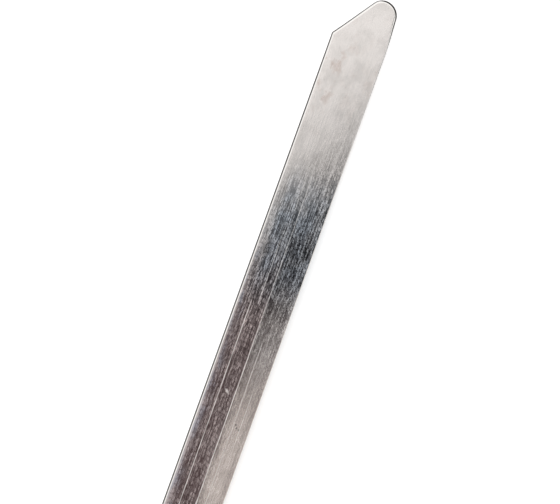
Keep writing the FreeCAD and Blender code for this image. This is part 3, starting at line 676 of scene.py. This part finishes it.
# Oiled rosewood: brown and plum growth rings drawn out along the handle, short dark pores filled
# with oil, a soft sheen where the palm rubs, and dirt along the metal at both ends.
RING_SPACING = 2.6 * MM
HEART = (0.0, 31.0 * MM, -22.0 * MM)  # the tree's heart passes beside the handle
RING_SWAY = 5.0 * MM  # how far the rings wander from round in long waves
RING_RIPPLE = 0.7 * MM  # and in short ones
DIRT_REACH = 2.4 * MM
wood = new_material("oiled_rosewood")
tree = wood.node_tree
place = add(tree, "TexCoord").outputs["Object"]
split = add(tree, "SeparateXYZ", place)
off_heart = add(tree, "VectorMath", place, HEART, operation="SUBTRACT")
across_grain = add(tree, "VectorMath", off_heart, (0.0, 1.0, 1.0), operation="MULTIPLY")
ring_radius = add(tree, "VectorMath", across_grain, operation="LENGTH").outputs["Value"]
sway = stretched(75 * MM, 12 * MM, detail=2.0, shift=4.0)
sway = add(tree, "MapRange", sway, 0.0, 1.0, -RING_SWAY, RING_SWAY)
ripple = stretched(22 * MM, 1.6 * MM, detail=3.0, shift=8.0)
ripple = add(tree, "MapRange", ripple, 0.0, 1.0, -RING_RIPPLE, RING_RIPPLE)
grown = add(tree, "Math", ring_radius, sway, operation="ADD")
grown = add(tree, "Math", grown, ripple, operation="ADD")
ring = add(tree, "Math", grown, RING_SPACING, operation="DIVIDE")
ring = add(tree, "Math", ring, operation="FRACT")
darkening = add(tree, "MapRange", ring, 0.15, 0.88, **SOFT)
new_ring = add(tree, "MapRange", ring, 1.0, 0.93, **SOFT)
latewood = add(tree, "Math", darkening, new_ring, operation="MULTIPLY")
figure = stretched(110 * MM, 7 * MM, detail=2.0, shift=15.0)
figure = add(tree, "MapRange", figure, 0.35, 0.68, 0.25, 1.0, **SOFT)
latewood = add(tree, "Math", latewood, figure, operation="MULTIPLY")
streaks = stretched(34 * MM, 0.45 * MM, detail=3.0, shift=6.0)
streaks = add(tree, "MapRange", streaks, 0.35, 0.68, **SOFT)
pores = stretched(3.6 * MM, 0.15 * MM, detail=1.0, shift=12.0)
pores = add(tree, "MapRange", pores, 0.60, 0.68, **SOFT)
early = add(tree, "MapRange", latewood, 0.0, 0.8, 1.0, 0.35)
pores = add(tree, "Math", pores, early, operation="MULTIPLY")
base = add(tree, "Mix", streaks, srgb("7C4A30"), srgb("5E3321"), data_type="RGBA")
ringed = add(tree, "Mix", latewood, base, srgb("2E1610"), data_type="RGBA")
tone = stretched(60 * MM, 9 * MM, detail=2.0, shift=30.0)
toned = add(tree, "MapRange", tone, 0.30, 0.70, 0.78, 1.18, **SOFT)
varied = add(tree, "Mix", 1.0, ringed, toned, data_type="RGBA", blend_type="MULTIPLY")
pored = add(tree, "Mix", pores, varied, srgb("1C0D09"), data_type="RGBA")
wood_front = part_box("scale_upper")[1].x
wood_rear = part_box("scale_upper")[0].x
near_front = add(tree, "MapRange", split.outputs["X"], wood_front - DIRT_REACH, wood_front, **SOFT)
near_rear = add(tree, "MapRange", split.outputs["X"], wood_rear + DIRT_REACH, wood_rear, **SOFT)
grime = add(tree, "Math", near_front, near_rear, operation="MAXIMUM")
blotches = stretched(2.2 * MM, 1.8 * MM, detail=3.0, shift=1.0)
blotches = add(tree, "MapRange", blotches, 0.3, 0.6, 0.2, 0.75)
grime = add(tree, "Math", grime, blotches, operation="MULTIPLY")
wood_colour = add(tree, "Mix", grime, pored, srgb("1F130E"), data_type="RGBA")
polish = stretched(45 * MM, 14 * MM, detail=2.0, shift=17.0)
polish = add(tree, "MapRange", polish, 0.35, 0.65, 0.30, 0.42, **SOFT)
rough = add(tree, "Math", polish, add(tree, "Math", pores, 0.30, operation="MULTIPLY"), operation="ADD")
rough = add(tree, "Math", rough, add(tree, "Math", grime, 0.20, operation="MULTIPLY"), operation="ADD")
sunk = add(tree, "Math", pores, -1.0, operation="MULTIPLY")
fibres = add(tree, "Math", streaks, 0.25, operation="MULTIPLY")
relief = add(tree, "Math", sunk, fibres, operation="ADD")
bump = add(tree, "Bump", {"Strength": 1.0, "Distance": 0.05 * MM, "Height": relief})
oil = {"Coat Weight": 0.18, "Coat Roughness": 0.22, "IOR": 1.5}
surface = add(tree, "BsdfPrincipled", {"Base Color": wood_colour, "Roughness": rough, "Normal": bump, **oil})
add(tree, "OutputMaterial", surface)
dress(wood, "scale_upper", "scale_lower")

# ---------------------------------------------------------------- the bolsters
# Two blocks of steel at the front of the handle. They are drilled for two pins, riveted through the
# bar, and ground to one outline with it.

# Satin steel: wrapped along on a fine belt, so it has short close scratches one way, a few deeper
# ones, and dull finger marks. The scratches are drawn a few times wider than real, so that they show.
satin = new_material("satin_ground_steel")
tree = satin.node_tree
place = add(tree, "TexCoord").outputs["Object"]
scratches = add(tree, "MapRange", stretched(14 * MM, 0.11 * MM, detail=2.0), 0.35, 0.72, **SOFT)
deeper = stretched(30 * MM, 0.16 * MM, detail=0.0, shift=5.0)
deeper = add(tree, "MapRange", deeper, 0.72, 0.77, **SOFT)
marks = add(tree, "MapRange", stretched(7 * MM, 6 * MM, detail=4.0, shift=9.0), 0.50, 0.66, **SOFT)
plain = add(tree, "Mix", scratches, srgb("ACAAA7"), srgb("BDBAB6"), data_type="RGBA")
lit = add(tree, "Mix", deeper, plain, srgb("CFCCC8"), data_type="RGBA")
dulled = add(tree, "Math", marks, 0.35, operation="MULTIPLY")
satin_colour = add(tree, "Mix", dulled, lit, srgb("8E8882"), data_type="RGBA")
rough = add(tree, "MapRange", scratches, 0.0, 1.0, 0.24, 0.38)
rough = add(tree, "Math", rough, add(tree, "Math", marks, 0.10, operation="MULTIPLY"), operation="ADD")
sunk = add(tree, "Math", deeper, -1.5, operation="MULTIPLY")
relief = add(tree, "Math", scratches, sunk, operation="ADD")
bump = add(tree, "Bump", {"Strength": 1.0, "Distance": 0.0025 * MM, "Height": relief})
finish = {"Metallic": 1.0, "Roughness": rough, "Normal": bump}
surface = add(tree, "BsdfPrincipled", {"Base Color": satin_colour, **finish})
add(tree, "OutputMaterial", surface)
dress(satin, "bolster_upper", "bolster_lower")

# ---------------------------------------------------------------- the strike cap
# A block of hardened steel at the butt, slotted over the bar's tongue and cross-pinned. Its chamfered
# end takes the hammer.

DENT_COUNT = 40
DENT_RADIUS = (1.6 * MM, 2.8 * MM)
DENT_DEPTH = (0.30 * MM, 0.55 * MM)
END_ROUND = 1.2 * MM  # the chamfer round the struck end
GRID = 0.45 * MM  # the end is cut this finely, to take the dents
cap_low, cap_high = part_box("strike_cap")
cap_core = bmesh.new()
cap_core.from_mesh(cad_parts["strike_cap"].data)
bmesh.ops.remove_doubles(cap_core, verts=cap_core.verts[:], dist=MERGE)
for axis in (1, 2):
    reach = cap_high[axis] - cap_low[axis]
    for i in range(1, int(reach / GRID)):
        point = [0.0, 0.0, 0.0]
        point[axis] = cap_low[axis] + i * GRID
        direction = [0, 0, 0]
        direction[axis] = 1
        end = [f for f in cap_core.faces if f.calc_center_median().x < cap_low.x + END_ROUND + 0.1 * MM]
        geometry = {v for f in end for v in f.verts} | {e for f in end for e in f.edges}
        bmesh.ops.bisect_plane(
            cap_core, geom=[*geometry, *end], dist=MERGE, plane_co=point, plane_no=direction
        )
dice = random.Random(4)
dents = []
for _ in range(DENT_COUNT):
    middle = Vector((0, dice.uniform(cap_low.y, cap_high.y), dice.uniform(cap_low.z, cap_high.z)))
    dents.append((middle, dice.uniform(*DENT_RADIUS), dice.uniform(*DENT_DEPTH)))
for v in cap_core.verts:
    if v.co.x > cap_low.x + END_ROUND + 0.05 * MM:
        continue
    share = ease(v.co.x, cap_low.x + END_ROUND, cap_low.x + 0.3 * MM)
    sunk = 0.0
    for middle, radius, depth in dents:
        off = math.hypot(v.co.y - middle.y, v.co.z - middle.z) / radius
        sunk = max(sunk, depth * (1 - off * off))
    v.co.x += share * sunk
cap_mesh = bpy.data.meshes.new("dented_cap")
cap_core.to_mesh(cap_mesh)
cap_core.free()
cap_mesh.shade_smooth()
cap_mesh.set_sharp_from_angle(angle=math.radians(30))
cap = bpy.data.objects.new("dented_cap", cap_mesh)
bpy.context.scene.collection.objects.link(cap)
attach(cap, "root")
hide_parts("strike_cap")

# Hardened steel, blackened in the quench and struck: dark satin sides, and a bright worn end whose
# overlapping dents are darker in their hollows.
struck = new_material("struck_hardened_steel")
tree = struck.node_tree
place = add(tree, "TexCoord").outputs["Object"]
split = add(tree, "SeparateXYZ", place)
cap_rear = cap_low.x
uneven = stretched(3.0 * MM, 2.5 * MM, detail=4.0, shift=4.0)
edge_of_wear = add(tree, "Math", uneven, 7.0 * MM, operation="MULTIPLY")
depth = add(tree, "Math", split.outputs["X"], cap_rear, operation="SUBTRACT")
depth = add(tree, "Math", depth, edge_of_wear, operation="SUBTRACT")
worn = add(tree, "MapRange", depth, 0.5 * MM, -3.0 * MM, **SOFT)
on_end = add(tree, "MapRange", split.outputs["X"], cap_rear + 1.1 * MM, cap_rear + 0.3 * MM, **SOFT)
worn = add(tree, "Math", worn, on_end, operation="MAXIMUM")
scratches = add(tree, "MapRange", stretched(14 * MM, 0.12 * MM, detail=2.0), 0.38, 0.72, **SOFT)
dark = add(tree, "Mix", scratches, srgb("6C6A68"), srgb("7E7B78"), data_type="RGBA")
clouds = add(tree, "MapRange", uneven, 0.40, 0.65, 0.0, 0.35, **SOFT)
blued = add(tree, "Mix", clouds, dark, srgb("565A61"), data_type="RGBA")
hollow_from = cap_rear + 0.10 * MM
hollow_to = cap_rear + 0.50 * MM
hollow = add(tree, "MapRange", split.outputs["X"], hollow_from, hollow_to, 0.0, 0.55, **SOFT)
grime = add(tree, "MapRange", uneven, 0.52, 0.72, 0.0, 0.35, **SOFT)
grime = add(tree, "Math", grime, hollow, operation="MAXIMUM")
bright = add(tree, "Mix", grime, srgb("BFBCB8"), srgb("8C8883"), data_type="RGBA")
cap_colour = add(tree, "Mix", worn, blued, bright, data_type="RGBA")
side_rough = add(tree, "MapRange", scratches, 0.0, 1.0, 0.30, 0.40)
end_rough = add(tree, "MapRange", uneven, 0.3, 0.7, 0.16, 0.36)
rough = add(tree, "Mix", worn, side_rough, end_rough, data_type="FLOAT")
grit = stretched(0.5 * MM, 0.4 * MM, detail=3.0, shift=7.0)
gritty = add(tree, "Math", grit, worn, operation="MULTIPLY")
relief = add(tree, "Math", gritty, scratches, operation="ADD")
bump = add(tree, "Bump", {"Strength": 1.0, "Distance": 0.003 * MM, "Height": relief})
finish = {"Metallic": 1.0, "Roughness": rough, "Normal": bump}
surface = add(tree, "BsdfPrincipled", {"Base Color": cap_colour, **finish})
add(tree, "OutputMaterial", surface)
cap_mesh.materials.clear()
cap_mesh.materials.append(struck)

# ---------------------------------------------------------------- the rivets and the hang tube
# Two cutler's rivets of brass, each a headed sleeve driven onto a headed stud, and a flanged brass
# tube that lines the hanging hole. All are turned, and sanded level with the wood.

# Turned brass, sanded and handled: fine rings round each axis, long scratches over them, bright
# where it is rubbed and brown in its seams.
RING_PITCH = 0.22 * MM  # the turning marks, as coarse as they need to be to show
SEAM_WIDTH = 0.7 * MM
first_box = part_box("rivet_sleeves")
tube_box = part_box("hang_tube")
head_radius = (first_box[1].y - first_box[0].y) / 2
tube_centre = (tube_box[0].x + tube_box[1].x) / 2
centres = (first_box[0].x + head_radius, first_box[1].x - head_radius, tube_centre)
brass = new_material("turned_brass")
tree = brass.node_tree
place = add(tree, "TexCoord").outputs["Object"]
from_axis = None
for centre in centres:
    offset = add(tree, "VectorMath", place, (centre, 0.0, 0.0), operation="SUBTRACT")
    flat = add(tree, "VectorMath", offset, (1.0, 1.0, 0.0), operation="MULTIPLY")
    away = add(tree, "VectorMath", flat, operation="LENGTH").outputs["Value"]
    from_axis = away if from_axis is None else add(tree, "Math", from_axis, away, operation="MINIMUM")
turns = add(tree, "Math", from_axis, 2 * math.pi / RING_PITCH, operation="MULTIPLY")
rings = add(tree, "MapRange", add(tree, "Math", turns, operation="SINE"), -1.0, 1.0)
scratches = add(tree, "MapRange", stretched(8 * MM, 0.15 * MM, detail=2.0), 0.50, 0.70, **SOFT)
tarnish = stretched(2.6 * MM, 2.2 * MM, detail=4.0, shift=3.0)
tarnish = add(tree, "MapRange", tarnish, 0.46, 0.66, **SOFT)
tarnish = add(tree, "Math", tarnish, 0.35, operation="MULTIPLY")
seam = add(tree, "MapRange", from_axis, head_radius - SEAM_WIDTH, head_radius, **SOFT)
seam = add(tree, "Math", seam, 0.6, operation="MULTIPLY")
brown = add(tree, "Math", tarnish, seam, operation="MAXIMUM")
rubbed = add(tree, "Mix", scratches, srgb("D2A85C"), srgb("EAD08F"), data_type="RGBA")
brass_colour = add(tree, "Mix", brown, rubbed, srgb("8A6532"), data_type="RGBA")
rough = add(tree, "MapRange", scratches, 0.0, 1.0, 0.20, 0.34)
rough = add(tree, "Math", rough, add(tree, "Math", brown, 0.18, operation="MULTIPLY"), operation="ADD")
relief = add(tree, "Math", rings, scratches, operation="ADD")
bump = add(tree, "Bump", {"Strength": 1.0, "Distance": 0.005 * MM, "Height": relief})
finish = {"Metallic": 1.0, "Roughness": rough, "Normal": bump}
surface = add(tree, "BsdfPrincipled", {"Base Color": brass_colour, **finish})
add(tree, "OutputMaterial", surface)
dress(brass, "rivet_sleeves", "rivet_studs", "hang_tube")

# ---------------------------------------------------------------- the pins
# Steel pins hold the bolsters and the cap: cut from drawn rod, driven through, peened over and
# sanded level, so their ends all but vanish in the blocks.

# Peened steel: brighter than the blocks round it, with the same scratches over a faint hammered
# middle.
peened = new_material("peened_steel_pin")
tree = peened.node_tree
place = add(tree, "TexCoord").outputs["Object"]
scratches = stretched(5 * MM, 0.14 * MM, detail=2.0, shift=7.0)
scratches = add(tree, "MapRange", scratches, 0.45, 0.68, **SOFT)
hammered = stretched(1.1 * MM, 0.9 * MM, detail=2.0, shift=2.0)
hammered = add(tree, "MapRange", hammered, 0.40, 0.62, **SOFT)
plain = add(tree, "Mix", scratches, srgb("B4B3B2"), srgb("D2D0CD"), data_type="RGBA")
dulled = add(tree, "Math", hammered, 0.3, operation="MULTIPLY")
pin_colour = add(tree, "Mix", dulled, plain, srgb("8B8885"), data_type="RGBA")
rough = add(tree, "MapRange", scratches, 0.0, 1.0, 0.18, 0.32)
sunk = add(tree, "Math", hammered, 3.0, operation="MULTIPLY")
relief = add(tree, "Math", scratches, sunk, operation="ADD")
bump = add(tree, "Bump", {"Strength": 1.0, "Distance": 0.005 * MM, "Height": relief})
finish = {"Metallic": 1.0, "Roughness": rough, "Normal": bump}
surface = add(tree, "BsdfPrincipled", {"Base Color": pin_colour, **finish})
add(tree, "OutputMaterial", surface)
dress(peened, "bolster_pins", "cap_pin")
